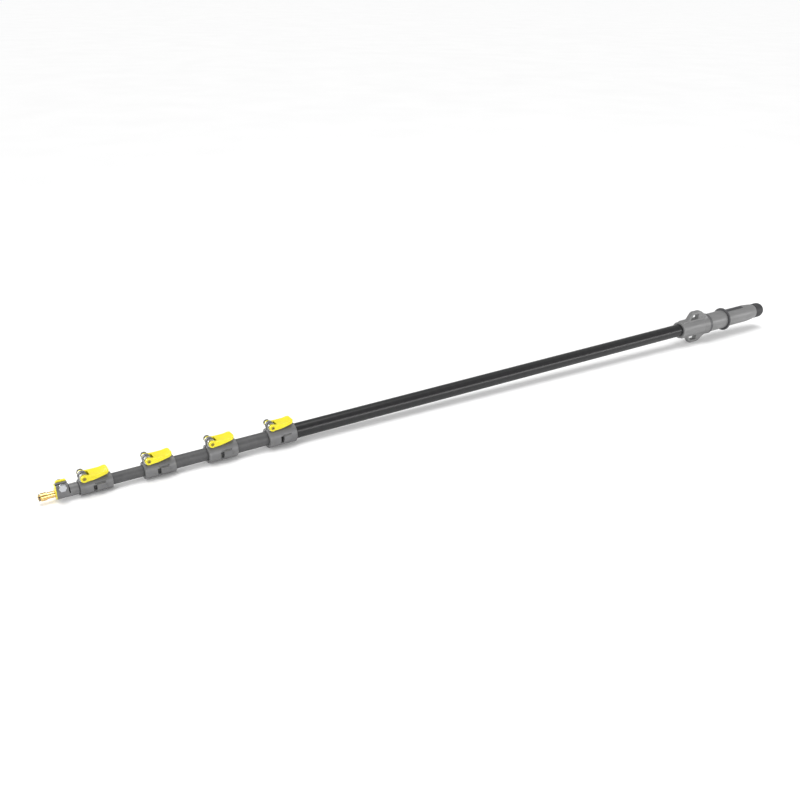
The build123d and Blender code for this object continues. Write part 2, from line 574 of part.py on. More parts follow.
def main():
    """Write one STEP file for each piece."""
    pieces = {
        "brush_nipple": brush_nipple(),
        "nipple_ring": nipple_ring(),
        "head_clamp": head_clamp(),
        "head_face": head_face(),
        "head_bolt": head_bolt(),
        "head_washer": head_washer(),
        "head_nut": head_nut(),
        "head_lever": head_lever(),
        "handle_sleeve": handle_sleeve(),
        "shoulder_ring": shoulder_ring(),
        "guard_body": guard_body(),
        "guard_flange": guard_flange(),
        "grip": grip(),
        "end_cap": end_cap(),
        "base_plug": base_plug(),
        "handle_screws": handle_screws(),
    }
    for number in range(1, TUBES + 1):
        pieces[f"tube_{number}"] = tube(number)
    for number in range(1, TUBES):
        pieces[f"guide_bush_{number}"] = guide_bush(number)
        pieces[f"collar_{number}"] = collar(number)
        pieces[f"grip_liner_{number}"] = grip_liner(number)
        pieces[f"clamp_lever_{number}"] = clamp_lever(number)
        pieces[f"clamp_bolt_{number}"] = clamp_bolt(number)
        pieces[f"thumb_nut_{number}"] = thumb_nut(number)
        pieces[f"lug_washers_{number}"] = lug_washers(number)
    os.makedirs("parts", exist_ok=True)
    for name, piece in pieces.items():
        export_step(piece, f"parts/{name}.step")


if __name__ == "__main__":
    main()
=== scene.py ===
"""Telescopic window cleaning pole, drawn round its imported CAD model.

Laid out as an add-on: sizes and colours are properties, each group of pieces has an operator, and a panel
lists them. Moulded pieces are distance fields in millimetres turned into surfaces, and turned pieces are
profiles swept round an axis.
"""

import bmesh
import bpy
import numpy as np
from bpy.props import FloatProperty, FloatVectorProperty, PointerProperty, StringProperty
from mathutils import Matrix, Vector


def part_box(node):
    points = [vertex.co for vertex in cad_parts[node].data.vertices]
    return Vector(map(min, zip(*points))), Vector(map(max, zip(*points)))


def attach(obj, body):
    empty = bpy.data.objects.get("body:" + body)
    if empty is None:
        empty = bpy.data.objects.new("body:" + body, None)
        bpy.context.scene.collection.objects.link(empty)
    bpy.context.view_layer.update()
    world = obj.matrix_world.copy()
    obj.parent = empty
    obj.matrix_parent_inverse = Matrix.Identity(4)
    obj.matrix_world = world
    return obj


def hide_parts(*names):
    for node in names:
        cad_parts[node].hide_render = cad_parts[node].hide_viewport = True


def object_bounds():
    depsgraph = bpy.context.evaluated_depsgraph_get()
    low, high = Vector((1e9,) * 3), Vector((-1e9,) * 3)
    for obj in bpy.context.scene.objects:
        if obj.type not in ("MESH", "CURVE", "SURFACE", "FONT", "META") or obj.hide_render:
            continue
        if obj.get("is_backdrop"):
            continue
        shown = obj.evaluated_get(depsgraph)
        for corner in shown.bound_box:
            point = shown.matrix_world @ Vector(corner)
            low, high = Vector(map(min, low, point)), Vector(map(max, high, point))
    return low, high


bl_info = {
    "name": "Window cleaning pole",
    "version": (1, 0, 0),
    "blender": (4, 5, 0),
    "location": "View3D > Sidebar > Pole",
    "description": "Builds a telescopic window cleaning pole with lever clamps",
    "category": "Add Mesh",
}

MM = 0.001
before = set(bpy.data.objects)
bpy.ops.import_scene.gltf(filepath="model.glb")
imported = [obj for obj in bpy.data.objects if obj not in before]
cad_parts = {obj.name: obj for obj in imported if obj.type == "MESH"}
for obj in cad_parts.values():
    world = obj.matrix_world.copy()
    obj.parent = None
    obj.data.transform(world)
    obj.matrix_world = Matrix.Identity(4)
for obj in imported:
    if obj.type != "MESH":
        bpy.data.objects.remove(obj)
CAD_BOX = [list(corner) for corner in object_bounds()]
CLAMPS = (1, 2, 3, 4)
OWNER = {1: "section_2", 2: "section_3", 3: "section_4", 4: "outer_section"}

# Sizes that several pieces share, in millimetres and degrees.
CLEARANCE = 0.3
HEAD_STEP = 7.5
SHANK_BORE = 6.8
FACE_GRID_STEP = 0.35
SCREW_TURN = 35.0
SCREW_SEAT = 3.5
REST_LENGTH = 80.0

# Largest angle in degrees between two faces that still shade as one.
MOULDED_CREASE = 40.0
MACHINED_CREASE = 30.0
ROUND_CREASE = 50.0


# ---------------------------------------------------------------- places read from the frame

def box_mm(node):
    """Lowest and highest corner of a node at rest, in millimetres."""
    return tuple(np.array(corner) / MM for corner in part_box(node))


def middle(node):
    """Centre of a node's box in millimetres."""
    low, high = box_mm(node)
    return (low + high) / 2


def bolt_place(number):
    """X and Z of a clamp's cross bolt."""
    centre = middle(f"clamp_bolt_{number}")
    return centre[0], centre[2]


def tube_radius(number):
    """Outside radius of a tube."""
    return box_mm(f"tube_{number}")[1][1]


# ---------------------------------------------------------------- distance fields

def smooth_min(a, b, blend):
    """Union of two fields with a fillet: the smaller value, rounded off where the two are within `blend`."""
    near = np.clip(0.5 + 0.5 * (b - a) / blend, 0.0, 1.0)
    return b + (a - b) * near - blend * near * (1.0 - near)


def smooth_max(a, b, blend):
    """Intersection of two fields with a rounded edge."""
    return -smooth_min(-a, -b, blend)


def cut(a, b, edge):
    """Field a with field b taken away, the rim rounded by `edge`."""
    return smooth_max(a, -b, edge)


def plate_between(value, low, high):
    """Field of the slab low < value < high."""
    return np.maximum(low - value, value - high)


def bar_x(p, start, end, radius, edge):
    """Field of a round bar along X with edges rounded by `edge`."""
    around = np.hypot(p[..., 1], p[..., 2]) - radius + edge
    along = plate_between(p[..., 0], start + edge, end - edge)
    return outer_corner(around, along) - edge


def bar_y(p, x, z, start, end, radius, edge):
    """Field of a round bar along Y with edges rounded by `edge`."""
    around = np.hypot(p[..., 0] - x, p[..., 2] - z) - radius + edge
    along = plate_between(p[..., 1], start + edge, end - edge)
    return outer_corner(around, along) - edge


def outer_corner(a, b):
    """Exact distance to the corner that two perpendicular fields make."""
    outside = np.hypot(np.maximum(a, 0.0), np.maximum(b, 0.0))
    return outside + np.minimum(np.maximum(a, b), 0.0)


def brick(p, low, high, edge):
    """Field of a box between two corners with edges rounded by `edge`."""
    centre = (np.array(low) + np.array(high)) / 2
    half = (np.array(high) - np.array(low)) / 2 - edge
    q = np.abs(p - centre) - half
    outside = np.sqrt((np.maximum(q, 0.0) ** 2).sum(axis=-1))
    return outside + np.minimum(q.max(axis=-1), 0.0) - edge


def polygon(x, z, corners):
    """Signed distance in the XZ plane to a polygon: nearest edge, negative inside by the crossing rule."""
    nearest = np.full(x.shape, 1e9)
    inside = np.zeros(x.shape, dtype=bool)
    for (ax, az), (bx, bz) in zip(corners, corners[1:] + corners[:1]):
        ex, ez = bx - ax, bz - az
        along = np.clip(((x - ax) * ex + (z - az) * ez) / (ex * ex + ez * ez), 0.0, 1.0)
        nearest = np.minimum(nearest, np.hypot(x - ax - along * ex, z - az - along * ez))
        crosses = (az > z) != (bz > z)
        slope = ex / ez if ez != 0 else 0.0
        inside ^= crosses & (x < ax + (z - az) * slope)
    return np.where(inside, -nearest, nearest)


def prism(p, corners, start, end, edge):
    """Field of an XZ outline carried along Y from start to end, its corners and rims rounded by `edge`."""
    shape = polygon(p[..., 0], p[..., 2], corners) + edge
    along = plate_between(p[..., 1], start + edge, end - edge)
    return outer_corner(shape, along) - edge


def skin(field, low, high, step):
    """Surface where a field is zero, as points and quads, by surface nets on a grid of `step` mm.

    Each grid cell that the surface crosses gets one point, the mean of its edges' crossings, and each
    crossed edge joins the four cells round it. Two Newton steps along the gradient then put the points on
    the surface.
    """
    low = np.array(low) - 2 * step
    counts = np.ceil((np.array(high) + 2 * step - low) / step).astype(int) + 1
    axes = [low[a] + step * np.arange(counts[a]) for a in range(3)]
    grid = np.stack(np.meshgrid(*axes, indexing="ij"), axis=-1)
    value = field(grid)
    cells = tuple(counts - 1)
    total = np.zeros(cells + (3,))
    hits = np.zeros(cells)
    crossed = []
    for axis in range(3):
        near = value.take(range(counts[axis] - 1), axis=axis)
        far = value.take(range(1, counts[axis]), axis=axis)
        edge = (near < 0) != (far < 0)
        part = np.where(edge, near / np.where(edge, near - far, 1.0), 0.0)
        place = grid.take(range(counts[axis] - 1), axis=axis).copy()
        place[..., axis] += part * step
        place *= edge[..., None]
        sides = [a for a in range(3) if a != axis]
        for first in (0, 1):
            for second in (0, 1):
                window = [slice(None)] * 3
                window[sides[0]] = slice(first, first + cells[sides[0]])
                window[sides[1]] = slice(second, second + cells[sides[1]])
                total += place[tuple(window)]
                hits += edge[tuple(window)]
        crossed.append((edge, near < 0))
    used = hits > 0
    number = np.full(cells, -1, dtype=np.int64)
    number[used] = np.arange(used.sum())
    points = total[used] / hits[used][:, None]
    quads = [edge_quads(number, edge, inward, axis) for axis, (edge, inward) in enumerate(crossed)]
    for _ in range(2):
        points = points - newton_step(field, points, step)
    return points, np.concatenate(quads)


def edge_quads(number, edge, inward, axis):
    """Quads round the crossed grid edges of one direction, wound so that they face out of the solid."""
    sides = [a for a in range(3) if a != axis]
    window = [slice(None)] * 3
    window[sides[0]] = slice(1, -1)
    window[sides[1]] = slice(1, -1)
    place = np.argwhere(edge[tuple(window)])
    out = inward[tuple(window)][tuple(place.T)]
    place[:, sides[0]] += 1
    place[:, sides[1]] += 1
    ring = []
    for first, second in ((1, 1), (0, 1), (0, 0), (1, 0)):
        cell = place.copy()
        cell[:, sides[0]] -= first
        cell[:, sides[1]] -= second
        ring.append(number[tuple(cell.T)])
    quad = np.stack(ring, axis=1)
    flip = out if axis == 1 else ~out
    quad[flip] = quad[flip][:, ::-1]
    return quad


def newton_step(field, points, step):
    """Move that takes points to the field's zero, by its central-difference gradient, at most half a cell."""
    reach = 0.05 * step
    gradient = np.empty_like(points)
    for axis in range(3):
        offset = np.zeros(3)
        offset[axis] = reach
        gradient[:, axis] = (field(points + offset) - field(points - offset)) / (2 * reach)
    size = np.maximum((gradient ** 2).sum(axis=1), 0.1)
    move = gradient * (field(points) / size)[:, None]
    return np.clip(move, -0.5 * step, 0.5 * step)


# ---------------------------------------------------------------- swept surfaces

def turned(profile, turns, axis="X", centre=(0.0, 0.0, 0.0), radius_of=None):
    """Surface of revolution from (along, radius) points: each profile point is carried round the axis.

    radius_of(along, radius, angle) may vary the radius round the circle. The ends close on the axis when
    their radius is 0, and otherwise the profile is a loop that closes on its first point.
    """
    profile = np.array(profile, dtype=float)
    angle = 2 * np.pi * np.arange(turns) / turns
    along = np.repeat(profile[:, :1], turns, axis=1)
    radius = np.repeat(profile[:, 1:], turns, axis=1)
    if radius_of is not None:
        radius = radius_of(along, radius, np.broadcast_to(angle, radius.shape))
    if axis == "X":
        points = np.stack([along, radius * np.cos(angle), radius * np.sin(angle)], axis=-1)
    else:
        points = np.stack([radius * np.sin(angle), along, radius * np.cos(angle)], axis=-1)
    points = points + np.array(centre)
    rows = len(profile)
    closed = profile[0, 1] > 0
    top = np.arange(rows if closed else rows - 1)[:, None]
    side = np.arange(turns)[None, :]
    after = (top + 1) % rows
    beside = (side + 1) % turns
    corners = ((top, side), (top, beside), (after, beside), (after, side))
    quads = np.stack([row * turns + column for row, column in corners], axis=-1)
    return points.reshape(-1, 3), quads.reshape(-1, 4)


def rounded(profile, radius, steps=5):
    """Profile with each inner corner replaced by an arc of `radius`, or less where a side is short."""
    profile = np.array(profile, dtype=float)
    result = [profile[0]]
    for before, corner, after in zip(profile, profile[1:], profile[2:]):
        first, second = before - corner, after - corner
        reach_1, reach_2 = np.hypot(*first), np.hypot(*second)
        first, second = first / reach_1, second / reach_2
        half = np.arccos(np.clip(first @ second, -1, 1)) / 2
        trim = min(radius / max(np.tan(half), 1e-6), reach_1 * 0.45, reach_2 * 0.45)
        if half > 1.54:
            result.append(corner)
            continue
        start, end = corner + first * trim, corner + second * trim
        for part in np.linspace(0, 1, steps):
            result.append((1 - part) ** 2 * start + 2 * part * (1 - part) * corner + part ** 2 * end)
    result.append(profile[-1])
    return np.array(result)


# ---------------------------------------------------------------- pieces

def make_piece(name, surface, body, nodes, material, crease=MOULDED_CREASE):
    """Mesh object at the origin from (points, quads) in millimetres, on a body in place of CAD nodes."""
    points, quads = surface
    mesh = bpy.data.meshes.new(name)
    mesh.from_pydata((points * MM).tolist(), [], quads.tolist())
    mesh.update()
    merge(mesh)
    mesh.polygons.foreach_set("use_smooth", np.ones(len(mesh.polygons), dtype=bool))
    mesh.set_sharp_from_angle(angle=np.radians(crease))
    piece = bpy.data.objects.new(name, mesh)
    bpy.context.scene.collection.objects.link(piece)
    piece.data.materials.append(material)
    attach(piece, body)
    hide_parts(*nodes)
    return piece


def merge(mesh):
    """Joins points that coincide, such as a pole's ring, and drops the faces that collapse."""
    work = bmesh.new()
    work.from_mesh(mesh)
    bmesh.ops.remove_doubles(work, verts=work.verts, dist=1e-6)
    work.to_mesh(mesh)
    work.free()


# ---------------------------------------------------------------- shapes of the pieces

def collar_shape(number, look):
    """Clamp collar: barrel, lugs and side pads joined with fillets, less bores, slots and eye reliefs."""
    low, high = box_mm(f"collar_{number}")
    front, rear = low[0], high[0]
    outer = -low[2]
    bolt_x, bolt_z = bolt_place(number)
    lug_top = high[2] - bolt_z
    lug_half = 7.5
    washer_low, washer_high = box_mm(f"lug_washers_{number}")
    relief = (washer_high[2] - washer_low[2]) / 2 + CLEARANCE
    bolt_hole = 2.6
    seat, seat_wall = tube_radius(number + 1), 1.5
    grip = tube_radius(number) + CLEARANCE
    pad_front, pad_rear, pad_half = front + 31.0, front + 48.0, 5.5
    groove_front, groove_z, groove_half, groove_depth = front + 28.0, 7.2, 0.8, 1.6
    slit_half, slit_length = 1.5, 25.0
    slot_top, slot_bottom = 15.0, -33.0
    per_degree = 0.0174

    def field(p):
        y, z = p[..., 1], p[..., 2]
        around = np.hypot(y, z)
        from_bolt = np.hypot(p[..., 0] - bolt_x, z - bolt_z)
        body = bar_x(p, front, rear, outer, look.collar_edge)
        lug = bar_y(p, bolt_x, bolt_z, -lug_half, lug_half, lug_top, 1.0)
        root = brick(p, (bolt_x - lug_top, -lug_half, 0), (bolt_x + lug_top, lug_half, bolt_z), 1.0)
        body = smooth_min(body, np.minimum(lug, root), 1.6)
        pad = brick(p, (pad_front, -high[1], -pad_half), (pad_rear, high[1], pad_half), 0.6)
        body = smooth_min(body, pad, 0.4)
        groove_along = plate_between(p[..., 0], groove_front, pad_rear + 1.0)
        groove = np.maximum(np.abs(z - groove_z) - groove_half, groove_along)
        body = cut(body, np.maximum(groove, outer - groove_depth - around), 0.3)
        swing = np.maximum(from_bolt - relief, lug_half - np.abs(y))
        body = cut(body, swing, 0.5)
        angle = np.degrees(np.arctan2(z, np.abs(y)))
        sector = np.maximum(angle - slot_top, slot_bottom - angle) * outer * per_degree
        slot = np.maximum(sector, plate_between(p[..., 0], front + slit_length, pad_front))
        body = cut(body, slot, 0.5)
        slit = np.maximum(np.abs(y) - slit_half, np.maximum(-z, p[..., 0] - front - slit_length))
        body = cut(body, slit, 0.4)
        body = cut(body, from_bolt - bolt_hole, 0.3)
        body = cut(body, np.maximum(around - seat, front + seat_wall - p[..., 0]), 0.4)
        return cut(body, around - grip, 0.5)

    return skin(field, low, high, look.moulding_step)


def lever_shape(number, look):
    """Fork lever: two eyes and side walls under a crowned top plate that turns up into a thumb tab."""
    low, high = box_mm(f"clamp_lever_{number}")
    x, z = bolt_place(number)
    eye = x - low[0]
    tip = high[0] - x
    tip_round = 8.0
    outer = -low[1]
    inner = box_mm(f"lug_washers_{number}")[1][1] + CLEARANCE
    top = high[2] - z
    lug_room, boss_radius, bolt_hole = 9.2, 6.0, 2.7
    recess_radius, recess_depth = 3.6, 3.3
    dish_x, dish_z, dish_radius = 27.0, 63.6, 60.0
    wall = [(2.0, -eye + 0.6), (17.0, -5.8), (28.0, -3.7), (38.0, -1.3), (tip - 0.6, 1.2), (tip, 2.4),
            (tip, top - 1.0), (tip - 1.2, top - 0.2), (tip - 6.0, top - 1.4), (34.0, 4.6), (20.0, 4.4),
            (11.5, 4.7), (4.0, eye - 1.0)]
    sheet = [(11.5, 1.7), (34.0, 1.7), (tip, top - 3.0), (tip, top - 0.6), (tip - 1.2, top), (34.0, 4.6),
             (20.0, 4.4), (11.5, 4.6)]

    def field(p):
        q = p - np.array([x, 0.0, z])
        y = np.abs(q[..., 1])
        folded = np.stack([q[..., 0], y, q[..., 2]], axis=-1)
        around = np.hypot(q[..., 0], q[..., 2])
        side = prism(folded, wall, inner, outer, 0.9)
        ring = bar_y(folded, 0, 0, inner, outer, eye, 1.1)
        body = smooth_min(side, ring, 1.2)
        plate = prism(q, sheet, -outer, outer, 0.9)
        body = smooth_min(body, plate, 1.4)
        from_dish = (q[..., 0] - dish_x) ** 2 + q[..., 1] ** 2 + (q[..., 2] - dish_z) ** 2
        body = cut(body, np.sqrt(from_dish) - dish_radius, 1.2)
        corner = outer_corner(y - outer + tip_round, q[..., 0] - tip + tip_round) - tip_round
        body = smooth_max(body, corner, 0.8)
        body = cut(body, np.maximum(around - lug_room, y - inner), 0.4)
        boss = bar_y(q, 0, 0, outer - 1.0, high[1], boss_radius, 0.6)
        body = smooth_min(body, boss, 0.5)
        body = cut(body, around - bolt_hole, 0.3)
        recess = np.maximum(around - recess_radius, q[..., 1] + outer - recess_depth)
        return cut(body, recess, 0.5)

    return skin(field, low, high, look.moulding_step)


def head_clamp_shape(look):
    """Head moulding: neck, near cheek and second cheek with soft edges, less bores, cuts and bolt hole."""
    low, high = box_mm("head_clamp")
    bolt = middle("head_washer")
    bolt_hole = 3.0
    radius = -low[2]
    cheek = high[1] - 0.15
    near_thick, second_thick = 5.0, 6.0
    slit_y, slit_half = 4.75, 1.5
    slit_front = low[0] + 23.0
    saw_width, saw_depth = 2.0, -1.0
    lever = box_mm("head_lever")[0][1] - CLEARANCE

    def field(p):
        y, z = p[..., 1], p[..., 2]
        around = np.hypot(y, z)
        past_saw = p[..., 0] - slit_front - saw_width
        body = bar_x(p, low[0], high[0], radius, 0.7)
        near = brick(p, (low[0], -cheek, -2.0), (slit_front, near_thick - cheek, high[2]), 1.2)
        second = brick(p, (low[0], lever - second_thick, 0.0), (slit_front, lever, high[2]), 1.2)
        body = smooth_min(body, np.minimum(near, second), 0.9)
        step = np.maximum(np.maximum(lever - y, HEAD_STEP - z), p[..., 0] - slit_front - 1.0)
        body = cut(body, step, 0.4)
        saw = np.maximum(plate_between(p[..., 0], slit_front, slit_front + saw_width), saw_depth - z)
        body = cut(body, saw, 0.4)
        slit = np.maximum(np.abs(y + slit_y) - slit_half, np.maximum(-z, past_saw))
        body = cut(body, slit, 0.4)
        body = cut(body, np.maximum(around - SHANK_BORE, past_saw), 0.5)
        body = cut(body, np.maximum(around - tube_radius(1), slit_front + saw_width - p[..., 0]), 0.3)
        return cut(body, np.hypot(p[..., 0] - bolt[0], z - bolt[2]) - bolt_hole, 0.3)

    return skin(field, low, high, look.moulding_step)


def head_face_shape():
    """Face plate of the head: a thin disc and a tongue before the cheeks, with a rounded rim."""
    low, high = box_mm("head_face")
    radius = -low[1]
    rim = 0.4
    lever = box_mm("head_lever")[0][1] - CLEARANCE

    def field(p):
        y, z = p[..., 1], p[..., 2]
        around = np.hypot(y, z)
        tongue_width = np.abs(y - (lever - radius) / 2) - (lever + radius) / 2
        tongue = np.maximum(tongue_width, np.maximum(-z, z - high[2]))
        outline = np.minimum(around - radius, tongue)
        outline = cut(outline, np.maximum(lever - y, HEAD_STEP - z), 0.3)
        body = outer_corner(outline + rim, plate_between(p[..., 0], low[0] + rim, high[0] - 0.1)) - rim
        body = np.maximum(body, p[..., 0] - high[0])
        return cut(body, around - SHANK_BORE, 0.2)

    return skin(field, low, high, FACE_GRID_STEP)


def head_lever_shape(look):
    """Quick-release lever: a short rounded plate, dished on its outer face, less the bolt hole."""
    low, high = box_mm("head_lever")
    bolt = middle("head_washer")
    bolt_hole, boss_radius = 3.15, 7.0
    corner, edge = 3.2, 1.2
    dish_inset, dish_depth = 1.8, 1.5

    def field(p):
        x, z = p[..., 0] - (low[0] + high[0]) / 2, p[..., 2] - (low[2] + high[2]) / 2
        past_x = np.abs(x) - (high[0] - low[0]) / 2 + corner
        past_z = np.abs(z) - (high[2] - low[2]) / 2 + corner
        shape = outer_corner(past_x, past_z) - corner
        body = outer_corner(shape + edge, plate_between(p[..., 1], low[1] + edge, high[1] - edge)) - edge
        around = np.hypot(p[..., 0] - bolt[0], p[..., 2] - bolt[2])
        hollow = np.maximum(shape + dish_inset, high[1] - dish_depth - p[..., 1])
        body = cut(body, np.maximum(hollow, boss_radius - around), 0.5)
        return cut(body, around - bolt_hole, 0.3)

    return skin(field, low, high, look.moulding_step)


def sleeve_shape(look):
    """Handle sleeve: a barrel with a saddle and windowed loops above and below, joined with wide fillets."""
    low, high = box_mm("handle_sleeve")
    front, rear = low[0], high[0]
    bore = tube_radius(5)
    radius = bore + 5.75
    spread = high[1]
    top = high[2]
    overrun = rear + 4.0
    flare_length, flare_slant = 11.0, 0.89
    saddle_half, loop_half, window_half = 9.5, 7.0, 20.0
    screw_x = box_mm("handle_screws")[0][0] + SCREW_SEAT
    across = np.cos(np.radians(SCREW_TURN)), np.sin(np.radians(SCREW_TURN))
    outline = [(front + 24.0, bore + 1), (front + 24.0, radius - 1.0), (front + 28.0, radius + 1.5),
               (front + 41.0, top - 3.2), (front + 46.0, top), (front + 70.0, top), (front + 76.0, top - 1.8),
               (rear - 5.0, 31.8), (overrun, 27.5), (overrun, bore + 1)]
    sill, lintel = 24.2, top - 7.6
    window = [(front + 37.0, sill), (front + 46.0, lintel), (front + 65.0, lintel), (front + 65.0, sill)]

    def field(p):
        y, z = p[..., 1], np.abs(p[..., 2])
        around = np.hypot(y, z)
        body = bar_x(p, front, overrun, radius, 1.6)
        folded = np.stack([p[..., 0], y, z], axis=-1)
        ridge = prism(folded, outline, -loop_half, loop_half, 2.4)
        flare = (p[..., 0] - rear + flare_length) * (spread - radius) / flare_length
        cone = (around - radius - flare) * flare_slant
        body = smooth_min(body, np.maximum(cone, rear - 12.0 - p[..., 0]), 3.0)
        saddle_low = (front + 6.0, -saddle_half, 0.0)
        saddle = brick(folded, saddle_low, (overrun, saddle_half, radius + 0.6), 1.0)
        body = smooth_min(body, saddle, 1.0)
        body = smooth_min(body, ridge, 3.0)
        opening = prism(folded, window, -window_half, window_half, 2.6)
        body = cut(body, opening, 2.0)
        aside, out = z * across[0] - y * across[1], y * across[0] + z * across[1]
        seat = np.hypot(p[..., 0] - screw_x, aside) - SCREW_SEAT
        body = cut(body, np.maximum(seat, radius - 2.0 - out), 0.4)
        body = np.maximum(body, p[..., 0] - rear)
        return cut(body, around - bore, 0.5)

    return skin(field, low, high, look.sleeve_step)


def nipple_profile():
    """Lathe profile of the nipple: ring groove, chamfered land, shank, and the bore on the way back."""
    low, high = box_mm("brush_nipple")
    front, rear = low[0], high[0]
    land = high[1]
    return [(front, 3.5), (front, 5.5), (front + 0.5, 6.0), (front + 0.9, 6.0), (front + 1.0, 5.2),
            (front + 3.0, 5.2), (front + 3.1, 6.0), (front + 4.0, 6.0), (front + 4.0, land - 0.6),
            (front + 4.6, land), (front + 14.9, land), (front + 15.5, land - 0.6), (front + 15.5, 6.5),
            (rear - 0.5, 6.5), (rear, 6.0), (rear, 3.5)]


def ring_profile(node, bore, edge, grooves=()):
    """Lathe profile of a plain ring on the outer tube: bore, chamfered rim and shallow V grooves."""
    low, high = box_mm(node)
    front, rear, outer = low[0], high[0], high[1]
    rim = [(front + edge, outer)]
    for place in grooves:
        rim += [(front + place - 0.6, outer), (front + place, outer - 0.9), (front + place + 0.6, outer)]
    rim += [(rear - edge, outer)]
    return [(front, bore), (front, outer - edge)] + rim + [(rear, outer - edge), (rear, bore)]


def grip_surface():
    """Grip as radius over length and angle: a barrel that eases into a taper, less the thumb rest."""
    low, high = box_mm("grip")
    front, rear, outer = low[0], high[0], high[1]
    bore = tube_radius(5)
    end = box_mm("end_cap")[1][1]
    taper = rear - 38.0
    rest_half, rest_side, rest_depth = 8.6, 2.2, 2.2
    along = np.concatenate([np.linspace(front, front + 1.2, 4), np.linspace(front + 1.8, rear - 0.9, 150),
                            np.linspace(rear - 0.6, rear, 3)])
    ease = np.clip((along - taper) / (rear - taper), 0.0, 1.0)
    radius = outer + (end - outer) * ease ** 1.6
    radius -= np.maximum(0.0, 1.0 - (along - front)) ** 2 * 0.9
    radius -= np.maximum(0.0, 0.6 - (rear - along)) * 0.5
    profile = [(front, bore)] + list(zip(along, radius)) + [(rear, bore)]

    def thumb_rest(place, value, angle):
        across = value * np.sin(angle - np.pi / 2)
        up = np.sin(angle) > 0
        start = np.clip((place - front - 1.0) / 2.0, 0, 1)
        length = start * np.clip((front + REST_LENGTH - place) / 9.0, 0, 1)
        width = np.clip((rest_half - np.abs(across)) / rest_side, 0, 1)
        dip = rest_depth * (3 * length ** 2 - 2 * length ** 3) * (3 * width ** 2 - 2 * width ** 3)
        return value - np.where(up & (value > bore + 1.0), dip, 0.0)

    return turned(profile, 192, radius_of=thumb_rest)


def cap_profile():
    """Lathe profile of the rubber cap: spigot, skirt with a rounded lip, and the dome as a quarter circle."""
    low, high = box_mm("end_cap")
    spigot_front, tip, radius = low[0], high[0], high[1]
    lip = box_mm("grip")[1][0]
    dome = tip - radius
    bore = tube_radius(5)
    angle = np.linspace(0, np.pi / 2, 28)
    curve = list(zip(dome + radius * np.sin(angle), radius * np.cos(angle)))
    curve[-1] = (tip, 0.0)
    return [(spigot_front, 0.0), (spigot_front, bore - 0.5), (spigot_front + 0.5, bore), (lip, bore),
            (lip, radius - 1.0), (lip + 0.3, radius - 0.4), (lip + 1.0, radius)] + curve


def nut_surface(number):
    """Thumb nut: a chamfered disc whose rim waves in and out as flutes, with a raised middle and a bore."""
    low, high = box_mm(f"thumb_nut_{number}")
    x, z = bolt_place(number)
    start, end = low[1], high[1]
    outer = (high[2] - low[2]) / 2
    bore = 2.65
    flute_count, flute_depth = 18, 0.65
    profile = [(start, bore), (start, outer - 1.0), (start + 0.8, outer), (end - 1.6, outer),
               (end - 0.7, outer - 0.9), (end - 0.9, 4.6), (end, 4.2), (end, bore)]

    def flutes(place, value, angle):
        wave = 0.5 - 0.5 * np.cos(flute_count * angle)
        return value - np.where(value > outer - 0.6, flute_depth * wave, 0.0)

    return turned(rounded(profile, 0.5, 4), 144, axis="Y", centre=(x, 0.0, z), radius_of=flutes)


# ---------------------------------------------------------------- materials

def linear(code):
    """Linear RGBA from an sRGB hex string, by the sRGB transfer curve."""
    channels = np.array([int(code[i:i + 2], 16) for i in (0, 2, 4)]) / 255
    low, high = channels / 12.92, ((channels + 0.055) / 1.055) ** 2.4
    return (*np.where(channels <= 0.04045, low, high), 1.0)


def add(tree, kind, inputs=None, **settings):
    """Adds a shader node, sets its attributes and fills its sockets with values or links."""
    node = tree.nodes.new(kind)
    for key, value in settings.items():
        setattr(node, key, value)
    for key, value in (inputs or {}).items():
        if isinstance(value, bpy.types.NodeSocket):
            tree.links.new(value, node.inputs[key])
        else:
            node.inputs[key].default_value = value
    return node


def new_material(name, **sockets):
    """Material with a Principled shader; gives the material, its tree, the shader and object coordinates."""
    material = bpy.data.materials.new(name)
    material.use_nodes = True
    tree = material.node_tree
    tree.nodes.clear()
    inputs = {key.replace("_", " "): value for key, value in sockets.items()}
    shader = add(tree, "ShaderNodeBsdfPrincipled", inputs)
    output = add(tree, "ShaderNodeOutputMaterial")
    tree.links.new(shader.outputs[0], output.inputs["Surface"])
    place = add(tree, "ShaderNodeTexCoord").outputs["Object"]
    return material, tree, shader, place


def noise(tree, vector, size_mm, detail=2.0):
    """Noise with features about `size_mm` across."""
    inputs = {"Vector": vector, "Scale": 1 / MM / size_mm, "Detail": detail}
    return add(tree, "ShaderNodeTexNoise", inputs).outputs[0]


def stretched(tree, vector, scale):
    """Coordinates scaled axis by axis, so that noise on them is drawn out where the scale is small."""
    return add(tree, "ShaderNodeMapping", {"Vector": vector, "Scale": scale}).outputs[0]


def maths(tree, operation, *values):
    """Result of a maths node."""
    return add(tree, "ShaderNodeMath", dict(enumerate(values)), operation=operation).outputs[0]


def ramp(tree, value, *stops):
    """Colour ramp with (place, sRGB hex colour) stops."""
    node = add(tree, "ShaderNodeValToRGB", {"Fac": value})
    for stop, (place, colour) in zip(node.color_ramp.elements, stops):
        stop.position = place
        stop.color = linear(colour)
    return node.outputs["Color"]


def scalar_range(tree, value, low, high):
    """Maps the middle of a noise value's range, 0.3 to 0.7, to low..high."""
    inputs = {"Value": value, "From Min": 0.3, "From Max": 0.7, "To Min": low, "To Max": high}
    return add(tree, "ShaderNodeMapRange", inputs).outputs[0]


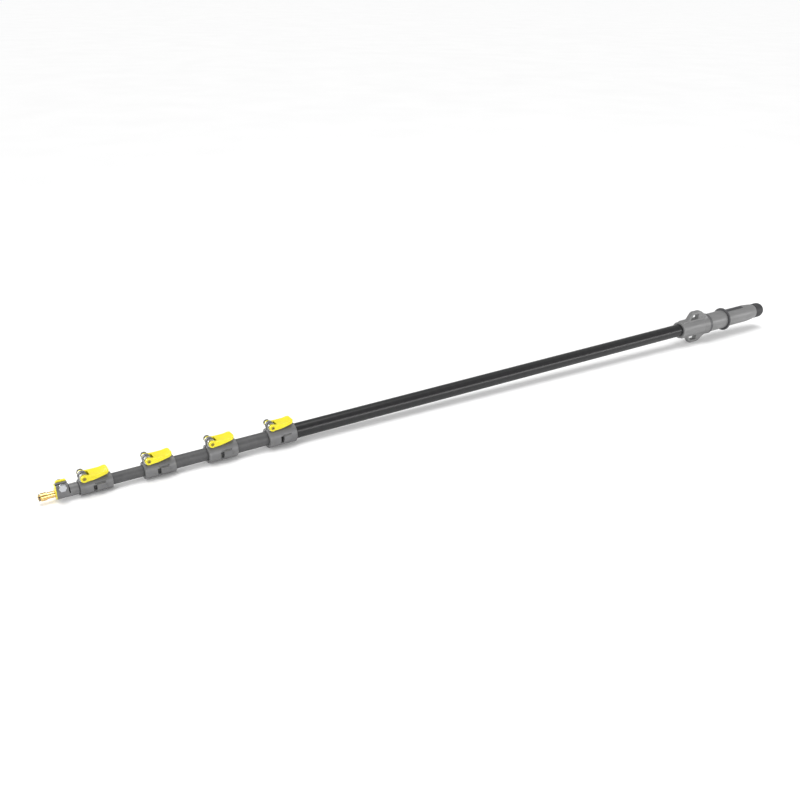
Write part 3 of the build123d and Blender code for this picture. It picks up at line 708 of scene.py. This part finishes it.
def connect(tree, shader, tint, roughness, height=None, strength=0.0, depth_mm=0.0):
    """Links colour and roughness to a shader, and a height as bump `depth_mm` deep if one is given."""
    tree.links.new(tint, shader.inputs["Base Color"])
    tree.links.new(roughness, shader.inputs["Roughness"])
    if height is not None:
        inputs = {"Height": height, "Strength": strength, "Distance": depth_mm * MM}
        bump = add(tree, "ShaderNodeBump", inputs)
        tree.links.new(bump.outputs[0], shader.inputs["Normal"])


def moulded_plastic(name, colour, shade, roughness, grain_mm, grain_depth, flow_mm=30.0):
    """Injection-moulded plastic: spark-eroded grain as fine bump, slow cloudy change of colour and gloss."""
    material, tree, shader, place = new_material(name, IOR=1.5)
    flow = noise(tree, place, flow_mm, 3.0)
    tint = ramp(tree, flow, (0.35, shade), (0.65, colour))
    rough = scalar_range(tree, flow, roughness + 0.05, roughness - 0.04)
    connect(tree, shader, tint, rough, noise(tree, place, grain_mm), 0.5, grain_depth)
    return material


def collar_nylon(look):
    """Glass-filled nylon, moulded: mid grey, an even dull sheen, a fine dry grain."""
    return moulded_plastic("glass_filled_nylon", look.collar_colour, look.collar_shade, 0.42, 0.9, 0.05)


def lever_nylon(look):
    """Coloured nylon, moulded in a polished tool: bright yellow with a soft gloss and a little depth."""
    material = moulded_plastic("yellow_nylon", look.lever_colour, look.lever_shade, 0.34, 1.4, 0.03, 22.0)
    shader = material.node_tree.nodes["Principled BSDF"]
    shader.inputs["Subsurface Weight"].default_value = 0.12
    shader.inputs["Subsurface Radius"].default_value = (1.0, 0.7, 0.2)
    shader.inputs["Subsurface Scale"].default_value = 0.0015
    return material


def handle_plastic(look):
    """Satin ABS, moulded: lighter grey with faint flow lines along the handle."""
    material, tree, shader, place = new_material("satin_abs", IOR=1.5)
    flow = noise(tree, stretched(tree, place, (0.12, 1.0, 1.0)), 5.0, 3.0)
    tint = ramp(tree, flow, (0.3, look.handle_shade), (0.7, look.handle_colour))
    connect(tree, shader, tint, scalar_range(tree, flow, 0.40, 0.33), noise(tree, place, 0.9), 0.45, 0.05)
    return material


def grip_plastic(look):
    """Satin ABS as on the handle; where the surface dips on the thumb rest, a darker colour as painted shade
    and a duller surface.
    """
    material = handle_plastic(look)
    material.name = "satin_abs_with_painted_rest_shade"
    tree = material.node_tree
    shader = tree.nodes["Principled BSDF"]
    tint = shader.inputs["Base Color"].links[0].from_socket
    rough = shader.inputs["Roughness"].links[0].from_socket
    # The dip of the thumb rest gets a darker colour as painted shade, and a duller surface.
    rest_shade_mask = add(tree, "ShaderNodeAttribute", attribute_name="rest").outputs["Fac"]
    # A mix node's sockets 6 and 7 are its two colours, 2 and 3 its two numbers.
    colour = add(tree, "ShaderNodeMix", {0: rest_shade_mask, 6: tint, 7: linear(look.rest_shade_colour)}, data_type="RGBA")
    gloss = add(tree, "ShaderNodeMix", {0: rest_shade_mask, 2: rough, 3: 0.6}, data_type="FLOAT")
    connect(tree, shader, colour.outputs[2], gloss.outputs[0])
    return material


def black_rubber(look):
    """Moulded EPDM rubber: near black, dull, with a powdery bloom and fine pits."""
    material, tree, shader, place = new_material("moulded_rubber", IOR=1.52)
    bloom = noise(tree, place, 9.0, 5.0)
    tint = ramp(tree, bloom, (0.35, look.rubber_colour), (0.7, look.rubber_bloom))
    connect(tree, shader, tint, scalar_range(tree, bloom, 0.5, 0.64), noise(tree, place, 0.8), 0.6, 0.06)
    return material


def lacquered_tube(look):
    """Wound composite tube under clear lacquer: black, glossy, with faint helical tows 6 mm wide."""
    material, tree, shader, place = new_material(
        "lacquered_composite", IOR=1.36, Coat_Weight=0.12, Coat_Roughness=0.15)
    tows, pitch = 8.0, 0.048
    split = add(tree, "ShaderNodeSeparateXYZ", {"Vector": place})
    angle = maths(tree, "ARCTAN2", split.outputs["Y"], split.outputs["Z"])
    along = maths(tree, "MULTIPLY", split.outputs["X"], 2 * np.pi / pitch)
    stripes = [maths(tree, "SINE", maths(tree, "MULTIPLY_ADD", angle, turn, along)) for turn in (tows, -tows)]
    weave = maths(tree, "MULTIPLY", *stripes)
    fleck = noise(tree, place, 2.5, 4.0)
    mixed = maths(tree, "MULTIPLY_ADD", weave, 0.18, fleck)
    tint = ramp(tree, mixed, (0.25, look.outer_tube_shade), (0.75, look.outer_tube_colour))
    connect(tree, shader, tint, scalar_range(tree, fleck, 0.30, 0.36))
    return material


def sanded_tube(look):
    """Ground composite tube without lacquer: dark grey and dull, with fine rings from the grinding belt."""
    material, tree, shader, place = new_material("ground_composite", IOR=1.5)
    grind = noise(tree, stretched(tree, place, (1.0, 0.06, 0.06)), 0.9, 3.0)
    cloud = noise(tree, place, 14.0, 3.0)
    mixed = maths(tree, "MULTIPLY_ADD", grind, 0.5, cloud)
    tint = ramp(tree, mixed, (0.55, look.inner_tube_shade), (0.95, look.inner_tube_colour))
    connect(tree, shader, tint, scalar_range(tree, cloud, 0.48, 0.56), grind, 0.35, 0.03)
    return material


def turned_brass(look):
    """Polished turned brass: warm metal with hair-fine lathe rings and a few duller patches."""
    material, tree, shader, place = new_material("turned_brass", Metallic=1.0)
    lathe = noise(tree, stretched(tree, place, (1.0, 0.04, 0.04)), 0.35)
    tarnish = noise(tree, place, 7.0, 4.0)
    tint = ramp(tree, tarnish, (0.35, look.brass_shade), (0.6, look.brass_colour))
    connect(tree, shader, tint, scalar_range(tree, tarnish, 0.22, 0.14), lathe, 0.25, 0.02)
    return material


def plated_steel(name, colour, shade, roughness):
    """Zinc-plated steel: pale metal, finely mottled by the plating's crystals."""
    material, tree, shader, place = new_material(name, Metallic=1.0)
    mottle = noise(tree, place, 1.6, 4.0)
    tint = ramp(tree, mottle, (0.35, shade), (0.65, colour))
    rough = scalar_range(tree, mottle, roughness - 0.04, roughness + 0.06)
    connect(tree, shader, tint, rough, mottle, 0.2, 0.03)
    return material


def studio_floor():
    """Painted studio floor: even, near white, dull."""
    material, tree, shader, place = new_material("studio_floor", Roughness=0.9)
    tint = ramp(tree, noise(tree, place, 400.0), (0.3, "F7F7F7"), (0.7, "FAFAFA"))
    tree.links.new(tint, shader.inputs["Base Color"])
    return material


# ---------------------------------------------------------------- settings

def colour_property(name, description, default):
    """String property that holds an sRGB hex colour."""
    return StringProperty(name=name, description=description, default=default)


def number_property(name, description, default, lowest=0.0):
    """Number property with a lower limit."""
    return FloatProperty(name=name, description=description, default=default, min=lowest)


class PoleLook(bpy.types.PropertyGroup):
    """Mesh steps, edge rounding and finishes of the pole."""
    moulding_step: number_property("Moulding step", "Grid step of moulded pieces in millimetres", 0.5, 0.3)
    sleeve_step: number_property("Sleeve step", "Grid step of the handle sleeve in millimetres", 0.7, 0.4)
    collar_edge: number_property("Collar edge", "Rounding of the collars' end faces in millimetres", 1.5, 0.3)
    collar_colour: colour_property("Collar colour", "Glass-filled nylon", "69696A")
    collar_shade: colour_property("Collar shade", "Darker flow in the nylon", "5F5F60")
    lever_colour: colour_property("Lever colour", "Yellow nylon", "E4D820")
    lever_shade: colour_property("Lever shade", "Deeper flow in the yellow", "DCCE14")
    nut_colour: colour_property("Nut colour", "Thumb nuts", "5E5D58")
    outer_tube_colour: colour_property("Outer tube colour", "Lighter tows under the lacquer", "1F1F20")
    outer_tube_shade: colour_property("Outer tube shade", "Darker tows under the lacquer", "151516")
    inner_tube_colour: colour_property("Inner tube colour", "Ground composite", "4A4A4B")
    inner_tube_shade: colour_property("Inner tube shade", "Darker rings", "3F3F40")
    handle_colour: colour_property("Handle colour", "Satin ABS", "707070")
    handle_shade: colour_property("Handle shade", "Darker flow in the ABS", "696969")
    # Darker colour in the thumb rest: painted shade for the dip in the grip.
    rest_shade_colour: colour_property("Thumb rest painted shade", "Painted shade in the dip of the thumb rest", "363638")
    rubber_colour: colour_property("Rubber colour", "Cap and sealing ring", "222224")
    rubber_bloom: colour_property("Rubber bloom", "Powdery bloom on the rubber", "2B2B2C")
    brass_colour: colour_property("Brass colour", "Clean brass", "E4C684")
    brass_shade: colour_property("Brass shade", "Duller brass", "CDA864")
    steel_colour: colour_property("Steel colour", "Zinc plate", "C0C2C5")


class PoleStage(bpy.types.PropertyGroup):
    """Camera, floor and lights."""
    lens: number_property("Lens", "Focal length in millimetres", 42.75)
    camera_place: FloatVectorProperty(
        name="Camera", description="Camera position in the pole's frame",
        default=(-0.242, -1.660, 0.916), size=3, subtype="TRANSLATION")
    camera_right: FloatVectorProperty(
        name="Camera right", description="Direction to the camera's right",
        default=(0.8508, -0.5254, 0.0), size=3)
    camera_forward: FloatVectorProperty(
        name="Camera forward", description="Direction in which the camera looks",
        default=(0.4769, 0.7714, -0.4218), size=3)
    world_strength: number_property("Surround", "Strength of the even surround", 0.52)
    key_strength: number_property("Key", "Irradiance of the wide overhead light", 1.7)
    key_spread: number_property("Key spread", "Angular size of the overhead light in degrees", 40.0)
    strip_power: number_property("Strip", "Power of the strip light in watts", 42.0)
    front_power: number_property("Front", "Power of the light ahead of the nipple in watts", 18.0)
    rim_power: number_property("Rim", "Power of the light behind the clamps in watts", 30.0)


# ---------------------------------------------------------------- operators

def carry_over(nodes, material):
    """Gives CAD nodes whose shape is right a finish."""
    for node in nodes:
        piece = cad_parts[node]
        piece.data.materials.clear()
        piece.data.materials.append(material)


class POLE_OT_tubes(bpy.types.Operator):
    """Finish the five tubes"""
    bl_idname = "pole.tubes"
    bl_label = "Tubes"

    def execute(self, context):
        look = context.scene.pole_look
        carry_over(["tube_5"], lacquered_tube(look))
        carry_over([f"tube_{n}" for n in CLAMPS], sanded_tube(look))
        return {"FINISHED"}


class POLE_OT_collars(bpy.types.Operator):
    """Mould the four clamp collars"""
    bl_idname = "pole.collars"
    bl_label = "Collars"

    def execute(self, context):
        look = context.scene.pole_look
        nylon = collar_nylon(look)
        for n in CLAMPS:
            make_piece(f"moulded_collar_{n}", collar_shape(n, look), OWNER[n], [f"collar_{n}"], nylon)
        return {"FINISHED"}


class POLE_OT_levers(bpy.types.Operator):
    """Mould the four fork levers and the yellow pieces of the head"""
    bl_idname = "pole.levers"
    bl_label = "Levers"

    def execute(self, context):
        look = context.scene.pole_look
        nylon = lever_nylon(look)
        for n in CLAMPS:
            make_piece(f"moulded_lever_{n}", lever_shape(n, look), f"lever_{n}", [f"clamp_lever_{n}"], nylon)
        make_piece("moulded_head_lever", head_lever_shape(look), "quick_release", ["head_lever"], nylon)
        make_piece("moulded_head_face", head_face_shape(), "section_1", ["head_face"], nylon)
        return {"FINISHED"}


class POLE_OT_head(bpy.types.Operator):
    """Mould the head clamp, turn the brush nipple and finish its ring"""
    bl_idname = "pole.head"
    bl_label = "Head"

    def execute(self, context):
        look = context.scene.pole_look
        nylon = bpy.data.materials["glass_filled_nylon"]
        make_piece("moulded_head", head_clamp_shape(look), "section_1", ["head_clamp"], nylon)
        nipple = turned(nipple_profile(), 96)
        make_piece("turned_nipple", nipple, "nipple", ["brush_nipple"], turned_brass(look),
                   MACHINED_CREASE)
        carry_over(["nipple_ring"], black_rubber(look))
        return {"FINISHED"}


class POLE_OT_fasteners(bpy.types.Operator):
    """Make the thumb nuts and finish the other fasteners"""
    bl_idname = "pole.fasteners"
    bl_label = "Fasteners"

    def execute(self, context):
        look = context.scene.pole_look
        nut_finish = moulded_plastic("grey_nut_nylon", look.nut_colour, "53524E", 0.45, 1.0, 0.05)
        for n in CLAMPS:
            make_piece(f"fluted_nut_{n}", nut_surface(n), f"nut_{n}", [f"thumb_nut_{n}"], nut_finish,
                       MACHINED_CREASE)
        zinc = plated_steel("zinc_plate", look.steel_colour, "ADB0B4", 0.32)
        dark = plated_steel("yellow_passivated_steel", "A89A50", "8C8040", 0.5)
        carry_over(["head_bolt", "head_washer", "head_nut"] + [f"lug_washers_{n}" for n in CLAMPS], zinc)
        carry_over([f"clamp_bolt_{n}" for n in CLAMPS] + ["handle_screws"], dark)
        return {"FINISHED"}


class POLE_OT_handle(bpy.types.Operator):
    """Mould the handle: sleeve with loops, shoulder ring, barrel, hand guard, grip and cap"""
    bl_idname = "pole.handle"
    bl_label = "Handle"

    def execute(self, context):
        look = context.scene.pole_look
        body = "outer_section"
        bore = tube_radius(5)
        satin = handle_plastic(look)
        rubber = bpy.data.materials["moulded_rubber"]
        # Shoulder ring in a darker grey than the handle: painted shade for its forward face, which turns away
        # from the light.
        shoulder = moulded_plastic("shoulder_painted_shade", "505051", "48484A", 0.48, 0.9, 0.04)
        guard = moulded_plastic("guard_rubber", "4C4C4E", "434345", 0.5, 0.9, 0.04)
        make_piece("moulded_sleeve", sleeve_shape(look), body, ["handle_sleeve"], satin)
        rings = (("shoulder_ring", shoulder, "handle_grey", 1.4, (4.5,)),
                 ("guard_body", satin, "handle_grey", 0.6, (2.5,)),
                 ("guard_flange", guard, "guard_dark", 1.2, ()))
        for node, finish, slot, edge, grooves in rings:
            ring = turned(rounded(ring_profile(node, bore, edge, grooves), 0.5), 160)
            make_piece(f"turned_{node}", ring, body, [node], finish, ROUND_CREASE)
        grip = make_piece("moulded_grip", grip_surface(), body, ["grip"], grip_plastic(look),
                          ROUND_CREASE)
        mark_rest(grip)
        cap = turned(cap_profile(), 128)
        make_piece("moulded_cap", cap, body, ["end_cap"], rubber, ROUND_CREASE)
        return {"FINISHED"}


def mark_rest(piece):
    """Point attribute that is 1 where the grip's surface dips below its own round barrel, the mask for the
    painted shade in the thumb rest.
    """
    low, high = box_mm("grip")
    count = len(piece.data.vertices)
    place = np.empty(count * 3)
    piece.data.vertices.foreach_get("co", place)
    place = place.reshape(-1, 3) / MM
    around = np.hypot(place[:, 1], place[:, 2])
    along = (place[:, 0] > low[0] + 1.0) & (place[:, 0] < low[0] + REST_LENGTH)
    inside = along & (place[:, 2] > 0)
    dip = np.clip((high[1] - 0.5 - around) / 1.2, 0.0, 1.0) * inside * (around > tube_radius(5) + 1.0)
    layer = piece.data.attributes.new("rest", "FLOAT", "POINT")
    layer.data.foreach_set("value", dip)


class POLE_OT_inside(bpy.types.Operator):
    """Finish the pieces inside: liners, guide bushes and base plug"""
    bl_idname = "pole.inside"
    bl_label = "Inside"

    def execute(self, context):
        acetal = moulded_plastic("black_acetal", "2A2A2C", "222224", 0.4, 1.2, 0.03)
        nodes = [f"grip_liner_{n}" for n in CLAMPS] + [f"guide_bush_{n}" for n in CLAMPS] + ["base_plug"]
        carry_over(nodes, acetal)
        return {"FINISHED"}


class POLE_OT_stage(bpy.types.Operator):
    """Lay the floor under the pole and set the camera and the lights"""
    bl_idname = "pole.stage"
    bl_label = "Stage"

    def execute(self, context):
        stage = context.scene.pole_stage
        make_floor()
        set_camera(context.scene, stage)
        set_surround(context.scene, stage)
        set_lights(stage)
        return {"FINISHED"}


def set_camera(scene, stage):
    """Camera from its place and its right and forward directions."""
    right = Vector(stage.camera_right).normalized()
    forward = Vector(stage.camera_forward).normalized()
    up = right.cross(forward)
    camera = bpy.data.objects.new("camera", bpy.data.cameras.new("camera"))
    camera.data.lens = stage.lens
    camera.data.clip_end = 100.0
    camera.matrix_world = Matrix((right, up, -forward)).transposed().to_4x4()
    camera.location = stage.camera_place
    scene.collection.objects.link(camera)
    scene.camera = camera


def set_surround(scene, stage):
    """Even white surround, shown without a film curve."""
    world = bpy.data.worlds.new("surround")
    world.use_nodes = True
    background = world.node_tree.nodes["Background"]
    background.inputs["Color"].default_value = (1.0, 1.0, 1.0, 1.0)
    background.inputs["Strength"].default_value = stage.world_strength
    scene.world = world
    scene.view_settings.view_transform = "Standard"


def set_lights(stage):
    """Wide overhead light, and soft boxes along the pole, ahead of the nipple and behind the clamps."""
    low, high = (np.array(corner) for corner in CAD_BOX)
    centre = Vector((low + high) / 2)
    key = bpy.data.lights.new("overhead", "SUN")
    key.energy = stage.key_strength
    key.angle = np.radians(stage.key_spread)
    place_light(key, centre + Vector((0.2, 0.35, 3.0)), centre)
    beside = centre + Vector((1.4, 0.0, 0.0))
    soft_box("strip", (4.6, 0.32), stage.strip_power, centre + Vector((1.4, -1.8, 0.42)), beside)
    ahead = Vector((low[0] - 2.0, -0.5, 1.1))
    soft_box("front", (1.6, 0.9), stage.front_power, ahead, Vector((0.2, 0.0, 0.0)))
    behind = Vector((-0.7, 1.9, 0.65))
    soft_box("rim", (1.6, 0.5), stage.rim_power, behind, Vector((0.3, 0.0, 0.0)))


def soft_box(name, size, power, place, target):
    """Rectangular light, its size in metres and its power in watts."""
    light = bpy.data.lights.new(name, "AREA")
    light.shape = "RECTANGLE"
    light.size, light.size_y = size
    light.energy = power
    place_light(light, place, target)


def make_floor():
    """Floor plane through the first collar's underside and the lower loop, on which the pole lies."""
    collar_low = box_mm("collar_1")[0]
    sleeve_low = box_mm("handle_sleeve")[0]
    loop_x = sleeve_low[0] + 46.0
    slope = (sleeve_low[2] - collar_low[2]) / (loop_x - collar_low[0])
    side = 40.0 / MM
    corners = []
    for x, y in ((-1, -1), (1, -1), (1, 1), (-1, 1)):
        height = collar_low[2] + slope * (x * side - collar_low[0])
        corners.append((x * side * MM, y * side * MM, height * MM))
    mesh = bpy.data.meshes.new("floor")
    mesh.from_pydata(corners, [], [(0, 1, 2, 3)])
    floor = bpy.data.objects.new("floor", mesh)
    floor.data.materials.append(studio_floor())
    bpy.context.scene.collection.objects.link(floor)
    floor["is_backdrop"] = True


def place_light(data, place, target):
    """Light object at a place, facing a target and not seen by the camera."""
    light = bpy.data.objects.new(data.name, data)
    light.location = place
    light.rotation_euler = (target - place).to_track_quat("-Z", "Y").to_euler()
    light.visible_camera = False
    bpy.context.scene.collection.objects.link(light)


# ---------------------------------------------------------------- panel and registration

STEPS = (POLE_OT_tubes, POLE_OT_collars, POLE_OT_levers, POLE_OT_head, POLE_OT_fasteners, POLE_OT_handle,
         POLE_OT_inside, POLE_OT_stage)


class POLE_PT_panel(bpy.types.Panel):
    """Sidebar panel that lists the steps in order"""
    bl_idname = "POLE_PT_panel"
    bl_label = "Window cleaning pole"
    bl_space_type = "VIEW_3D"
    bl_region_type = "UI"
    bl_category = "Pole"

    def draw(self, context):
        for step in STEPS:
            self.layout.operator(step.bl_idname)


CLASSES = (PoleLook, PoleStage, *STEPS, POLE_PT_panel)


def register():
    for cls in CLASSES:
        bpy.utils.register_class(cls)
    bpy.types.Scene.pole_look = PointerProperty(type=PoleLook)
    bpy.types.Scene.pole_stage = PointerProperty(type=PoleStage)


def unregister():
    del bpy.types.Scene.pole_stage
    del bpy.types.Scene.pole_look
    for cls in reversed(CLASSES):
        bpy.utils.unregister_class(cls)


def main():
    register()
    for step in STEPS:
        group, name = step.bl_idname.split(".")
        getattr(getattr(bpy.ops, group), name)()
    boxes = {"cad": CAD_BOX, "visual": [list(corner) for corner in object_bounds()]}
    boxes = {key: [[float(v) for v in corner] for corner in box] for key, box in boxes.items()}


if __name__ == "__main__":
    main()
